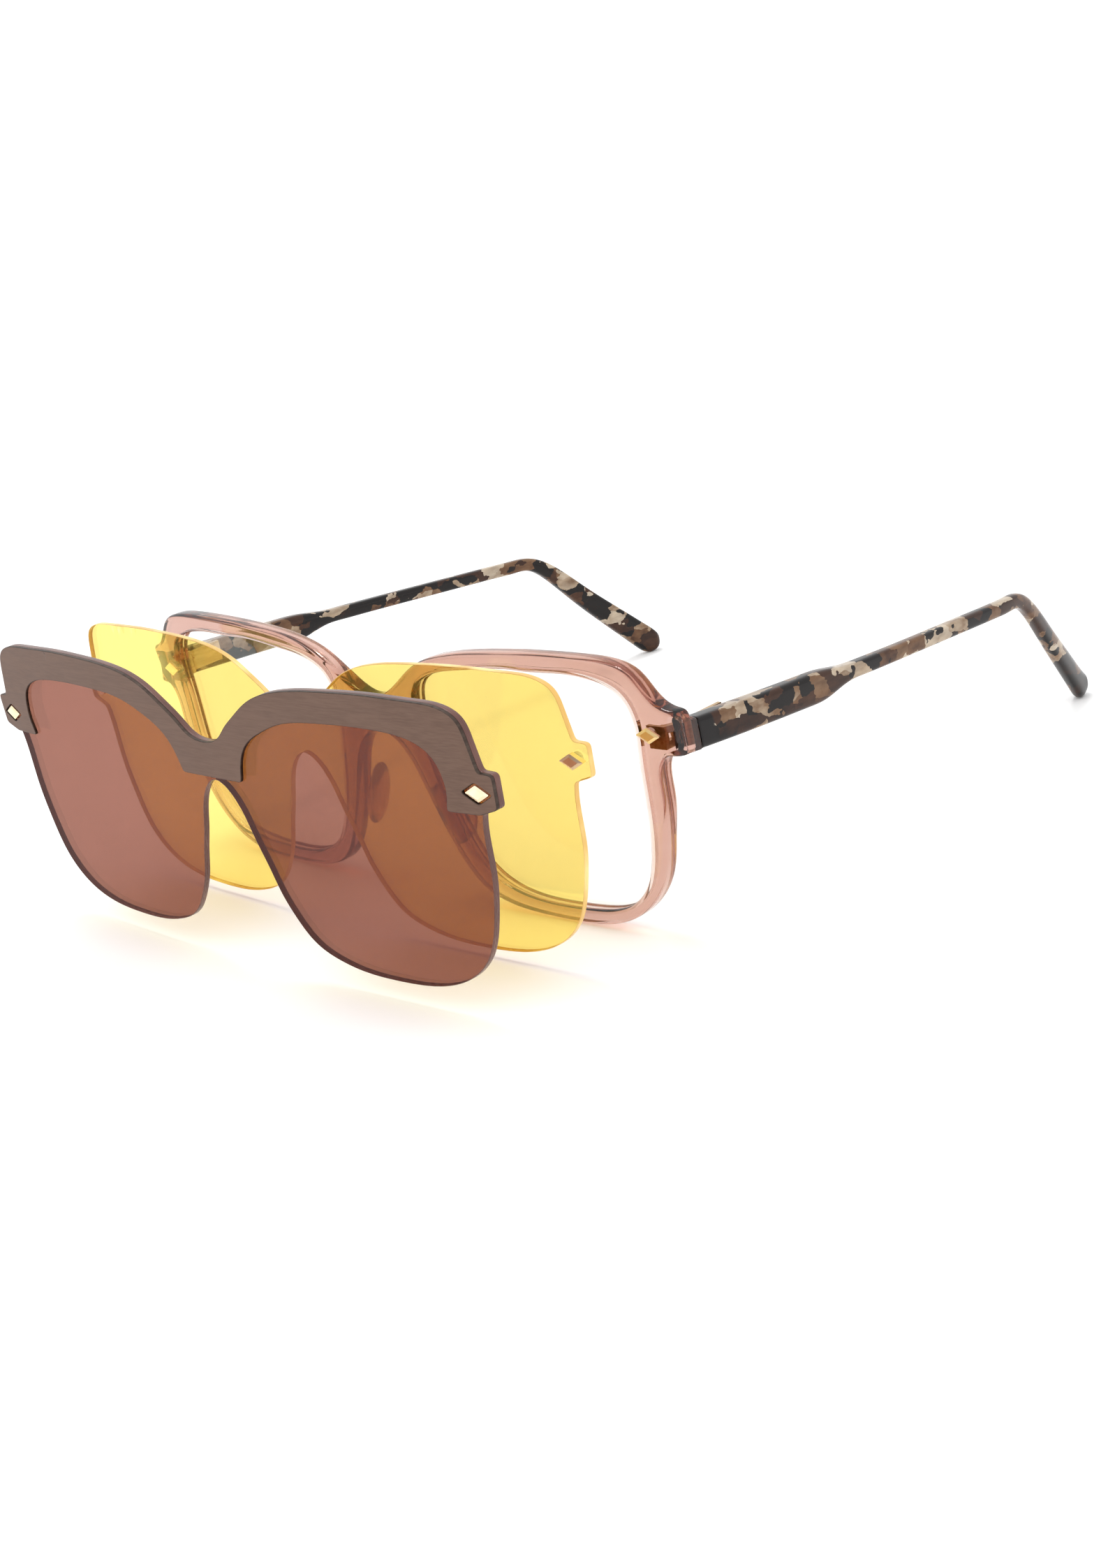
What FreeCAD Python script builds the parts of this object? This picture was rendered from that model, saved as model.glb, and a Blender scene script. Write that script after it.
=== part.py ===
"""Spectacles with two magnetic clip-on fronts, drawn pulled apart along one line.

Row frame: +Z up, the set stands on z = 0, the fronts face -Y, the temples run to +Y.
+X is the wearer's left. The origin is under the middle of the whole set. Millimetres.
"""
import FreeCAD
import Part
import math
import os

V = FreeCAD.Vector
X_AXIS = V(1, 0, 0)
Y_AXIS = V(0, 1, 0)
Z_AXIS = V(0, 0, 1)

# ---- driving dimensions -------------------------------------------------------------
front_width = 147.2       # over the end pieces
front_height = 47.6       # frame front, rim bottom to brow
clip_setback = 2.5        # clip tab's end to end piece's end
clip_cover = 1.9          # how much taller a clip is than the frame front
face_radius = 840.0       # every front is bent to this radius, axis upright
rim_depth = 3.2
lens_thickness = 1.2
groove_depth = 0.7
lens_setback = 0.9        # front face of the rim to front face of the lens groove
groove_play = 0.05

end_piece_wall = 3.6      # return of the end piece, and the temple's front end, along X
end_piece_depth = 4.543   # from the front face's end, where it has curved back, to the butt joint
end_piece_drop = 8.2      # brow to the end piece's top
end_piece_height = 7.2
corner_radius = 2.4       # outer upright corner of the end piece
joint_gap = 0.2           # between end piece and temple
joint_drop = 4.8          # end piece's top to the middle of the temple's front end

temple_height = 5.3       # wide front stretch
temple_slim_height = 2.7
temple_slim_thickness = 2.5
temple_wide_length = 28.0
temple_step_length = 8.0
temple_straight = 86.0    # butt joint to the ear bend
temple_tip_reach = 26.0   # ear bend to tip, along Y
temple_tip_width = 5.0
temple_tip_thickness = 3.0
temple_tip_inset = 13.5   # the tips stand in towards each other by this
temple_fall = 0.085       # how far the temple falls for each mm it runs back
temple_step_lift = 0.7    # the temple narrows from below, so its middle climbs by this
temple_stations = 24      # places worked out between the joint and the ear bend
core_height = 1.3
core_thickness = 0.7
core_play = 0.05
core_start = 12.0         # butt joint to the front end of the core wire
core_end_cut = 3.0        # how much earlier than the temple the wire ends

barrel_radius = 1.1
barrel_height = 1.25
barrel_play = 0.05
barrel_clearance = 0.1    # barrel to the end piece's inner side
screw_radius = 0.45
screw_play = 0.03
screw_head_radius = 0.85
screw_head_height = 0.45
leaf_thickness = 0.8
front_leaf_length = 3.6
temple_leaf_length = 7.0
web_width = 1.3           # between leaf and barrel
screw_slot = (2.4, 0.25, 0.2)

stud_width = 5.2          # the studs are lozenges
stud_height = 2.8
stud_inset = 6.6          # stud centre to the outside of the end piece
stud_drop = 4.0           # end piece's top to the stud's middle
stud_stand = 0.3          # frame stud, proud of the end piece
stud_seat = 0.5           # depth of the recess that it is glued in
magnet_radius = 1.1
magnet_length = 1.3
clip_magnet_length = 0.8
clip_stud_stand = 0.4
shank_radius = 0.6
shank_play = 0.02

yellow_thickness = 0.9
yellow_gap = 16.1         # frame front to yellow front, at rest
sun_thickness = 1.1
sun_gap = 34.5            # frame front to sun front, at rest
seat_gap = 0.1            # magnet to stud when a clip is pushed home
slide_rise = 0.127        # the clips lift by this share of how far they are pulled off
bar_thickness = 0.6
bar_end_width = 11.4      # brow bar at the tab, from the tab end inwards
bar_bottom_share = 0.632  # the bar's straight bottom edge, as a share of the clip's height
window_play = 0.35        # lozenge window of the brow bar round its stud
sun_stud_stand = 0.8
tab_above = 3.4           # stud's middle to the tab's top
tab_below = 2.3           # stud's middle to the tab's lower corner
tab_foot_drop = 1.2       # how much lower the tab is at its root
tab_corner = 0.5

pad_half_sizes = (1.9, 3.0, 6.0)
pad_height_share = 0.326  # pad's middle, as a share of the front's height
pad_splay = 18.0          # lean of the pad's foot away from the nose
pad_turn = 28.0           # turn of the pad towards the back
spare = 10.0              # how far a cutting tool runs past what it cuts

# ---- shapes as shares of half the width and of the height --------------------------------
FRAME_BROW = [(0, .773), (.084, .819), (.145, .882), (.204, .929), (.260, .954), (.339, .975),
              (.439, .989), (.626, 1), (.754, .998), (.838, .985), (.888, .952), (.916, .901),
              (.940, .859), (.969, .836)]
FRAME_SIDE = [(.926, .630), (.920, .525), (.899, .370), (.874, .237), (.823, .126), (.751, .048),
              (.656, .008), (.531, 0), (.429, .006), (.335, .027), (.261, .078), (.207, .174),
              (.165, .296), (.138, .391), (.1145, .479), (.087, .559), (.0475, .616), (0, .637)]
APERTURE = [(.543, .931), (.670, .933), (.785, .914), (.846, .868), (.869, .788), (.865, .651),
            (.860, .485), (.846, .315), (.813, .185), (.754, .103), (.670, .067), (.559, .057),
            (.447, .061), (.353, .090), (.284, .151), (.242, .242), (.212, .357), (.189, .483),
            (.170, .609), (.158, .725), (.169, .817), (.223, .876), (.349, .912)]
CLIP_BROW = [(0, .760), (.065, .782), (.100, .822), (.152, .873), (.208, .922), (.272, .958),
             (.353, .981), (.503, .996), (.643, 1), (.796, .994), (.880, .982), (.927, .945),
             (.945, .870)]
CLIP_SIDE = [(.935, .615), (.925, .430), (.904, .299), (.861, .158), (.794, .073), (.695, .020),
             (.534, 0), (.410, .006), (.320, .030), (.246, .075), (.192, .156), (.157, .238),
             (.132, .331), (.105, .420), (.083, .505), (.055, .571), (.028, .605), (0, .618)]
BAR_INNER = [(.848, .690), (.847, .760), (.830, .815), (.780, .861), (.707, .882), (.618, .889),
             (.451, .885), (.323, .864), (.235, .820), (.167, .763), (.136, .701)]

NOSE_SIDE = (.150, .33)   # where the pad is bonded

# ---- worked-out sizes --------------------------------------------------------------------
half_width = front_width / 2
clip_half = half_width - clip_setback
clip_height = front_height + clip_cover
end_piece_top = front_height - end_piece_drop
end_piece_bottom = end_piece_top - end_piece_height
temple_mid_height = end_piece_top - joint_drop
stud_mid_height = end_piece_top - stud_drop
tab_top = stud_mid_height + tab_above
tab_bottom = stud_mid_height - tab_below
bar_bottom = bar_bottom_share * clip_height
pad_height = pad_height_share * front_height
butt_y = face_radius - math.sqrt(face_radius ** 2 - half_width ** 2) + end_piece_depth
temple_end_y = butt_y + temple_straight + temple_tip_reach
stud_x = half_width - stud_inset
hinge_x = half_width - end_piece_wall - barrel_radius - barrel_clearance
leaf_x = hinge_x + 0.2
leaf_height = 3 * barrel_height + 2 * barrel_play
yellow_travel = yellow_gap - yellow_thickness - clip_magnet_length - stud_stand - seat_gap
sun_travel = sun_gap - yellow_gap - sun_thickness - clip_magnet_length - clip_stud_stand - seat_gap
yellow_rise = slide_rise * yellow_travel
sun_rise = yellow_rise + slide_rise * sun_travel
front_y = (sun_gap + bar_thickness - temple_end_y) / 2

PARTS = {}


def sag(x, offset=0.0):
    """How far a front has curved back at x; offset is measured inwards from the front face."""
    radius = face_radius - offset
    return face_radius - math.sqrt(radius * radius - x * x)


def tilt(x):
    """Turn about Z, in degrees, of a front's face at x."""
    return math.degrees(math.asin(x / face_radius))


def on_front(shares, half, height):
    """Points in the XZ plane from shares of half a width and a height."""
    return [V(u * half, 0, w * height) for u, w in shares]


def smooth(points, start=None, end=None):
    """A curve through the points, with the directions it starts and ends in where they are given."""
    curve = Part.BSplineCurve()
    if start is None and end is None:
        curve.interpolate(Points=points)
    else:
        first = start or points[1] - points[0]
        last = end or points[-1] - points[-2]
        curve.interpolate(Points=points, InitialTangent=first.normalize(),
                          FinalTangent=last.normalize(), Scale=False)
    return curve.toShape()


def closed_curve(points):
    """One smooth closed curve through the points."""
    curve = Part.BSplineCurve()
    curve.interpolate(Points=points, PeriodicFlag=True)
    return Part.Wire([curve.toShape()])


def lines(points):
    """Straight edges from each point to the next."""
    return [Part.makeLine(a, b) for a, b in zip(points, points[1:])]


def rounded(before, corner, after, radius):
    """Two lines that meet in an arc: from before to after, round the corner."""
    back = (before - corner).normalize()
    on = (after - corner).normalize()
    half_angle = back.getAngle(on) / 2
    cut = radius / math.tan(half_angle)
    first = corner + back * cut
    last = corner + on * cut
    middle = corner + (back + on).normalize() * (radius / math.sin(half_angle) - radius)
    arc = Part.Arc(first, middle, last).toShape()
    return first, arc, last


def both_halves(edges):
    """A closed wire from the edges of its +X half and their mirror images."""
    other = [edge.mirror(V(0, 0, 0), X_AXIS) for edge in edges]
    return Part.Wire(Part.__sortEdges__(edges + other))


def through(wire, depth):
    """The wire's outline as a prism along Y, to depth behind y = 0."""
    prism = Part.Face(wire).extrude(V(0, depth + spare, 0))
    prism.translate(V(0, -spare, 0))
    return prism


def layer(offset, thickness, half, height):
    """A curved sheet: from offset behind the front face, with a thickness, wider than half."""
    tall = height + 2 * spare
    centre = V(0, face_radius, -spare)
    outer = Part.makeCylinder(face_radius - offset, tall, centre)
    inner = Part.makeCylinder(face_radius - offset - thickness, tall, centre)
    reach = half + spare
    window = Part.makeBox(2 * reach, sag(reach) + thickness + 3 * spare, tall, V(-reach, -spare, -spare))
    return outer.cut(inner).common(window)


def sheet(wire, offset, thickness, half, height):
    """An outline cut from a curved sheet."""
    depth = sag(half) + thickness + spare
    return through(wire, depth).common(layer(offset, thickness, half, height)).Solids[0]


def grown(points, distance):
    """A closed ring of points moved outwards by a distance, across the curve through them."""
    count = len(points)
    centre = sum(points, V()) * (1.0 / count)
    moved = []
    for i, point in enumerate(points):
        along = (points[(i + 1) % count] - points[i - 1]).normalize()
        across = V(along.z, 0, -along.x)
        if across.dot(point - centre) < 0:
            across = across * -1
        moved.append(point + across * distance)
    return moved


def mirrored(shape):
    """The same piece on the wearer's right."""
    return shape.mirror(V(0, 0, 0), X_AXIS)


def put(name, shape, place=None):
    """Keeps a node's shape, moved to its place."""
    shape = shape.copy()
    shape.translate(place or V(0, front_y, 0))
    PARTS[name] = shape


def put_pair(name, shape, place=None):
    """Keeps a piece and its mirror image as two nodes."""
    put(name + "_left", shape, place)
    put(name + "_right", mirrored(shape), place)


def on_face(shape, x, z, offset=0.0):
    """Moves a shape made round the Y axis onto a front's face at x, z and turns it square to it."""
    shape = shape.copy()
    shape.rotate(V(0, 0, 0), Z_AXIS, tilt(x))
    normal_in = V(-x / face_radius, math.sqrt(1 - (x / face_radius) ** 2), 0)
    shape.translate(V(x, sag(x), z) + normal_in * offset)
    return shape


def lozenge(width, height, depth, start=0.0):
    """A diamond-shaped prism round the Y axis, from start to start + depth."""
    corners = [V(-width / 2, start, 0), V(0, start, height / 2), V(width / 2, start, 0),
               V(0, start, -height / 2), V(-width / 2, start, 0)]
    return Part.Face(Part.makePolygon(corners)).extrude(V(0, depth, 0))


def rod(radius, length, start=0.0):
    """A cylinder along Y."""
    return Part.makeCylinder(radius, length, V(0, start, 0), Y_AXIS)


# ---- frame front ---------------------------------------------------------------------------
def aperture_ring(extra):
    """The lens opening of the +X rim, grown by extra."""
    return closed_curve(grown(on_front(APERTURE, half_width, front_height), extra))


def frame_outline():
    """The frame front's outline with its end pieces."""
    brow_points = on_front(FRAME_BROW, half_width, front_height)
    top_end = V(half_width + 1, 0, end_piece_top)
    low_end = V(half_width + 1, 0, end_piece_bottom)
    side_points = on_front(FRAME_SIDE, half_width, front_height)
    root = V(side_points[0].x + 2.0, 0, end_piece_bottom)
    brow = smooth(brow_points + [top_end], start=V(1, 0, 0), end=V(1, 0, -0.1))
    turn = smooth([root] + side_points, start=V(-1, 0, -0.15), end=V(-1, 0, 0))
    return both_halves([brow] + lines([top_end, low_end, root]) + [turn])


def plan_outline():
    """The frame front seen from above: its curved face, rounded corners and straight sides."""
    inset = half_width - corner_radius
    centre_y = face_radius - math.sqrt((face_radius - corner_radius) ** 2 - inset ** 2)
    centre = V(inset, centre_y, 0)
    axis = V(0, face_radius, 0)
    touch = axis + (centre - axis) * (face_radius / (face_radius - corner_radius))
    side = V(half_width, centre_y, 0)
    middle = centre + ((touch - centre) + (side - centre)).normalize() * corner_radius
    back = V(half_width, butt_y + spare, 0)
    corner = Part.Arc(touch, middle, side).toShape()
    face = Part.Arc(V(-touch.x, touch.y, 0), V(0, 0, 0), touch).toShape()
    flank = Part.makeLine(side, back)
    rear = Part.makeLine(V(-back.x, back.y, 0), back)
    edges = [face, corner, flank, mirrored(corner), mirrored(flank), rear]
    return Part.Wire(Part.__sortEdges__(edges))


def end_return():
    """The block of the end piece that turns back to the temple."""
    inner = half_width - end_piece_wall
    start = sag(inner) + 0.6
    stop = butt_y - joint_gap / 2
    top = temple_mid_height + temple_height / 2
    bottom = temple_mid_height - temple_height / 2
    corners = [V(inner, start, end_piece_top), V(inner, stop, top), V(inner, stop, bottom),
               V(inner, start, end_piece_bottom), V(inner, start, end_piece_top)]
    return Part.Face(Part.makePolygon(corners)).extrude(V(end_piece_wall, 0, 0))


def stud_recess():
    """The pocket for a frame stud and the bore for the magnet behind it."""
    pocket = lozenge(stud_width, stud_height, stud_seat + spare, -spare)
    bore = rod(magnet_radius, magnet_length, stud_seat)
    return on_face(pocket.fuse(bore), stud_x, stud_mid_height)


def leaf_pocket():
    """The recess at the back of the rim that the front hinge leaf lies in."""
    corner = V(leaf_x - front_leaf_length, leaf_floor(), temple_mid_height - leaf_height / 2)
    return Part.makeBox(front_leaf_length, spare, leaf_height, corner)


def leaf_floor():
    """The bottom of that recess, half a leaf deep in the rim's back."""
    return sag(hinge_x - front_leaf_length, rim_depth) - leaf_thickness / 2


def front_frame():
    """The rims, bridge and end pieces in one piece."""
    body = sheet(frame_outline(), 0, rim_depth, half_width, front_height)
    block = end_return()
    body = body.fuse([block, mirrored(block)])
    plan = Part.Face(plan_outline()).extrude(V(0, 0, front_height + 2 * spare))
    plan.translate(V(0, 0, -spare))
    body = body.common(plan)
    depth = sag(half_width) + rim_depth + spare
    hole = through(aperture_ring(0), depth)
    groove = sheet(aperture_ring(groove_depth), lens_setback, lens_thickness + 2 * groove_play,
                   half_width, front_height)
    tools = [hole, groove, stud_recess(), leaf_pocket()]
    body = body.cut(tools + [mirrored(tool) for tool in tools])
    return body.Solids[0]


def demo_lens():
    """A clear lens that sits in the rim's groove."""
    return sheet(aperture_ring(groove_depth - groove_play), lens_setback + groove_play, lens_thickness,
                 half_width, front_height)


def nose_pad(frame_body):
    """A pad bonded behind the nose side of the rim."""
    ball = Part.makeSphere(1.0)
    stretch = FreeCAD.Matrix()
    stretch.scale(*pad_half_sizes)
    pad = ball.transformGeometry(stretch)
    pad.rotate(V(0, 0, 0), Y_AXIS, -pad_splay)
    pad.rotate(V(0, 0, 0), Z_AXIS, -pad_turn)
    side = on_front([NOSE_SIDE], half_width, front_height)[0]
    pad.translate(V(side.x + 0.4, sag(side.x) + rim_depth + 1.6, pad_height))
    pieces = pad.cut(frame_body).Solids
    return max(pieces, key=lambda piece: piece.Volume)


def frame_stud():
    """The lozenge set into the end piece's face."""
    stone = lozenge(stud_width, stud_height, stud_seat + stud_stand, -stud_stand)
    return on_face(stone, stud_x, stud_mid_height)


def frame_magnet():
    """The magnet behind the stud."""
    return on_face(rod(magnet_radius, magnet_length, stud_seat), stud_x, stud_mid_height)


# ---- hinges -------------------------------------------------------------------------------
def pin(radius, low, high):
    """A cylinder round the hinge's axis; low and high are from the temple's middle height."""
    return Part.makeCylinder(radius, high - low, V(hinge_x, butt_y, temple_mid_height + low))


def outer_barrel():
    """How far from the middle height an outer barrel starts and stops."""
    start = barrel_height / 2 + barrel_play
    return start, start + barrel_height


def front_leaf():
    """The hinge leaf on the frame front, with its two outer barrels."""
    floor = leaf_floor()
    start, stop = outer_barrel()
    leaf = Part.makeBox(front_leaf_length, leaf_thickness, leaf_height,
                        V(leaf_x - front_leaf_length, floor, temple_mid_height - leaf_height / 2))
    for low, high in ((start, stop), (-stop, -start)):
        corner = V(leaf_x - web_width, floor, temple_mid_height + low)
        web = Part.makeBox(web_width, butt_y - floor, high - low, corner)
        leaf = leaf.fuse([pin(barrel_radius, low, high), web])
    return leaf.cut(pin(screw_radius, -stop, stop)).removeSplitter().Solids[0]


def temple_leaf():
    """The hinge leaf on the temple, with the middle barrel."""
    half = barrel_height / 2
    plate_x = half_width - end_piece_wall - leaf_thickness / 2
    plate_y = butt_y + barrel_radius + 0.3
    plate = Part.makeBox(leaf_thickness, temple_leaf_length, leaf_height,
                         V(plate_x, plate_y, temple_mid_height - leaf_height / 2))
    web = Part.makeBox(plate_x + leaf_thickness / 2 - hinge_x, plate_y - butt_y + leaf_thickness / 2,
                       barrel_height, V(hinge_x, butt_y, temple_mid_height - half))
    bore = pin(screw_radius + screw_play, -half, half)
    return plate.fuse([pin(barrel_radius, -half, half), web]).cut(bore).removeSplitter().Solids[0]


def hinge_screw():
    """The screw that is the hinge's pin, with its slotted head on top."""
    start, stop = outer_barrel()
    length, width, depth = screw_slot
    shaft = pin(screw_radius, -stop, stop)
    head = pin(screw_head_radius, stop, stop + screw_head_height)
    top = temple_mid_height + stop + screw_head_height
    slot = Part.makeBox(length, width, depth, V(hinge_x - length / 2, butt_y - width / 2, top - depth))
    return shaft.fuse(head).cut(slot).Solids[0]


# ---- temples ------------------------------------------------------------------------------
def eased(share):
    """A smooth climb from 0 to 1 as the share does."""
    share = min(1.0, max(0.0, share))
    return share * share * (3 - 2 * share)


def temple_side_stations():
    """The temple seen from the side: (y, z, height) along its middle."""
    y0 = butt_y + joint_gap / 2
    run = temple_straight - joint_gap / 2
    stations = []
    for i in range(temple_stations + 1):
        along = run * i / temple_stations
        step = eased((along - temple_wide_length) / temple_step_length)
        lift = temple_step_lift * step * (1 - along / run)
        height = temple_height + (temple_slim_height - temple_height) * step
        stations.append((y0 + along, temple_mid_height - temple_fall * along + lift, height))
    bend, z_bend, height = stations[-1]
    end = temple_end_y - temple_tip_width / 2
    foot = temple_tip_width / 2
    high = z_bend - foot
    run = end - bend
    return stations + [(bend + 0.24 * run, z_bend - 0.165 * high, 1.20 * temple_slim_height),
                       (bend + 0.44 * run, z_bend - 0.395 * high, 1.40 * temple_slim_height),
                       (bend + 0.72 * run, z_bend - 0.70 * high, 1.66 * temple_slim_height),
                       (end, foot, temple_tip_width)]


def temple_plan_stations():
    """The temple seen from above: (y, x, thickness) along its middle."""
    y0 = butt_y + joint_gap / 2
    wide = y0 + temple_wide_length
    bend = butt_y + temple_straight
    end = temple_end_y - temple_tip_thickness / 2
    x0 = half_width - end_piece_wall / 2
    middle_thickness = 0.5 * (temple_slim_thickness + temple_tip_thickness)
    return [(y0, x0, end_piece_wall),
            (wide, x0 + 0.1, 0.7 * end_piece_wall + 0.3 * temple_slim_thickness),
            (wide + 0.35 * (bend - wide), x0 - 0.08 * temple_tip_inset, temple_slim_thickness),
            (wide + 0.7 * (bend - wide), x0 - 0.23 * temple_tip_inset, temple_slim_thickness),
            (bend, x0 - 0.40 * temple_tip_inset, temple_slim_thickness),
            (0.5 * (bend + end), x0 - 0.67 * temple_tip_inset, middle_thickness),
            (end, x0 - temple_tip_inset, temple_tip_thickness)]


def strap_outline(stations, at):
    """A closed outline round a middle line: stations are (along, across, width), at places a point."""
    line = [V(a, b, 0) for a, b, width in stations]
    widths = [width for a, b, width in stations]
    above = []
    below = []
    for i, point in enumerate(line):
        along = line[min(i + 1, len(line) - 1)] - line[max(i - 1, 0)]
        if i == 0:
            along = V(1, 0, 0)
        across = V(-along.y, along.x, 0).normalize()
        above.append(point + across * (widths[i] / 2))
        below.append(point - across * (widths[i] / 2))
    heading = (line[-1] - line[-2]).normalize()
    tip = line[-1] + heading * (widths[-1] / 2)
    top = smooth([at(p) for p in above])
    bottom = smooth([at(p) for p in below])
    front = Part.makeLine(at(below[0]), at(above[0]))
    end = Part.Arc(at(above[-1]), at(tip), at(below[-1])).toShape()
    return Part.Wire(Part.__sortEdges__([top, end, bottom, front]))


def strap(side_stations, plan_stations, start_y):
    """What a side outline and a plan outline have in common, from start_y on."""
    side = strap_outline(side_stations, lambda p: V(0, p.x, p.y))
    plan = strap_outline(plan_stations, lambda p: V(p.y, p.x, 0))
    across = Part.Face(side).extrude(V(half_width + spare, 0, 0))
    upright = Part.Face(plan).extrude(V(0, 0, front_height + 2 * spare))
    upright.translate(V(0, 0, -spare))
    keep = Part.makeBox(half_width + 2 * spare, temple_end_y + spare - start_y, front_height + 2 * spare,
                        V(-spare, start_y, -spare))
    return max(across.common(upright).common(keep).Solids, key=lambda piece: piece.Volume)


def wire_stations(stations, width):
    """The same middle line with one width, ended core_end_cut early."""
    kept = [(a, b, width) for a, b, old in stations]
    a1, b1, width = kept[-2]
    a2, b2, width = kept[-1]
    share = 1 - core_end_cut / math.hypot(a2 - a1, b2 - b1)
    kept[-1] = (a1 + (a2 - a1) * share, b1 + (b2 - b1) * share, width)
    return kept


def core_wire(play):
    """The flat metal wire inside the temple; play is added all round."""
    side = wire_stations(temple_side_stations(), core_height + 2 * play)
    plan = wire_stations(temple_plan_stations(), core_thickness + 2 * play)
    return strap(side, plan, butt_y + core_start - play)


def temple(leaf):
    """The acetate temple, with the recess for its leaf and the channel for its core wire."""
    body = strap(temple_side_stations(), temple_plan_stations(), butt_y)
    return max(body.cut([leaf, core_wire(core_play)]).Solids, key=lambda piece: piece.Volume)


# ---- clips --------------------------------------------------------------------------------
def tab_edges(root_top, root_low):
    """The tab at the end of a clip: out along its top, down its end and back in."""
    top_corner = V(clip_half, 0, tab_top - 0.2)
    low_corner = V(clip_half - 0.3, 0, tab_bottom)
    first, arc_top, after_top = rounded(root_top, top_corner, low_corner, tab_corner)
    before_low, arc_low, last = rounded(top_corner, low_corner, root_low, tab_corner)
    return [Part.makeLine(root_top, first), arc_top, Part.makeLine(after_top, before_low), arc_low,
            Part.makeLine(last, root_low)]


def tab_roots():
    """Where the tab leaves the lens's side, above and below."""
    low_side = on_front(CLIP_SIDE[:1], clip_half, clip_height)[0]
    root_top = V(clip_half * .958, 0, tab_top)
    root_low = V(low_side.x + 0.35, 0, tab_bottom - tab_foot_drop)
    return root_top, root_low


def clip_outline():
    """A clip's whole outline: brow, tab, lens side and nose arch."""
    root_top, root_low = tab_roots()
    brow = smooth(on_front(CLIP_BROW, clip_half, clip_height) + [root_top], start=V(1, 0, 0))
    side = smooth([root_low] + on_front(CLIP_SIDE, clip_half, clip_height), end=V(-1, 0, 0))
    return both_halves([brow] + tab_edges(root_top, root_low) + [side])


def bar_outline():
    """The brow bar's outline: the clip's brow and tab, then back along its own inner edge."""
    root_top, root_low = tab_roots()
    brow = smooth(on_front(CLIP_BROW, clip_half, clip_height) + [root_top], start=V(1, 0, 0))
    inner_points = on_front(BAR_INNER, clip_half, clip_height)
    end_corner = V(clip_half - bar_end_width, 0, root_low.z)
    bridge_corner = V(inner_points[-1].x - 1.2, 0, bar_bottom)
    inner = smooth([end_corner] + inner_points + [bridge_corner], start=V(0.05, 0, 1))
    foot = Part.makeLine(root_low, end_corner)
    bridge = Part.makeLine(bridge_corner, V(0, 0, bar_bottom))
    return both_halves([brow] + tab_edges(root_top, root_low) + [foot, inner, bridge])


def clip_lens(thickness):
    """A clip's lens sheet, one piece from tab to tab, with a hole for each stud's shank."""
    body = sheet(clip_outline(), 0, thickness, clip_half, clip_height)
    hole = on_face(rod(shank_radius + shank_play, 2 * spare, -spare), stud_x, stud_mid_height)
    return body.cut([hole, mirrored(hole)]).Solids[0]


def clip_stud(stand, thickness):
    """A lozenge head in front of the lens and a shank through it."""
    head = lozenge(stud_width, stud_height, stand, -stand)
    shank = rod(shank_radius, thickness)
    return on_face(head.fuse(shank).Solids[0], stud_x, stud_mid_height)


def clip_magnet(thickness):
    """The magnet disc behind the lens, under the stud."""
    return on_face(rod(magnet_radius, clip_magnet_length, thickness), stud_x, stud_mid_height)


def brow_bar():
    """The metal bar over the sun lens's top edge, with a lozenge window for each stud."""
    body = sheet(bar_outline(), -bar_thickness, bar_thickness, clip_half, clip_height)
    grow = window_play * math.hypot(stud_width, stud_height)
    window = lozenge(stud_width + 2 * grow / stud_height, stud_height + 2 * grow / stud_width,
                     2 * spare, -spare)
    window = on_face(window, stud_x, stud_mid_height)
    return body.cut([window, mirrored(window)]).Solids[0]


# ---- assembly -----------------------------------------------------------------------------
frame_body = front_frame()
put("front_frame", frame_body)
put_pair("demo_lens", demo_lens())
put_pair("nose_pad", nose_pad(frame_body))
put_pair("frame_stud", frame_stud())
put_pair("frame_magnet", frame_magnet())
put_pair("front_hinge_leaf", front_leaf())
put_pair("hinge_screw", hinge_screw())

leaf = temple_leaf()
put_pair("temple_hinge_leaf", leaf)
put_pair("temple", temple(leaf))
put_pair("temple_core", core_wire(0))

yellow_place = V(0, front_y - yellow_gap, yellow_rise)
put("yellow_lens", clip_lens(yellow_thickness), yellow_place)
put_pair("yellow_stud", clip_stud(clip_stud_stand, yellow_thickness), yellow_place)
put_pair("yellow_magnet", clip_magnet(yellow_thickness), yellow_place)

sun_place = V(0, front_y - sun_gap, sun_rise)
put("sun_lens", clip_lens(sun_thickness), sun_place)
put("brow_bar", brow_bar(), sun_place)
put_pair("sun_stud", clip_stud(sun_stud_stand, sun_thickness), sun_place)
put_pair("sun_magnet", clip_magnet(sun_thickness), sun_place)

os.makedirs("parts", exist_ok=True)
for name, shape in PARTS.items():
    shape.exportStep("parts/" + name + ".step")
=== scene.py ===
"""Looks of a pair of spectacles with two magnetic clip-on fronts pulled off in front of it.

Metres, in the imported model's frame: +Z up, the fronts face -Y, the temples run to +Y,
and +X is the wearer's left.
"""

import logging
import math
from dataclasses import dataclass, field
from enum import Enum
from typing import Callable, Optional, Sequence, Union

import bpy
import numpy as np
from mathutils import Matrix, Vector
from mathutils.geometry import delaunay_2d_cdt


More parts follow.
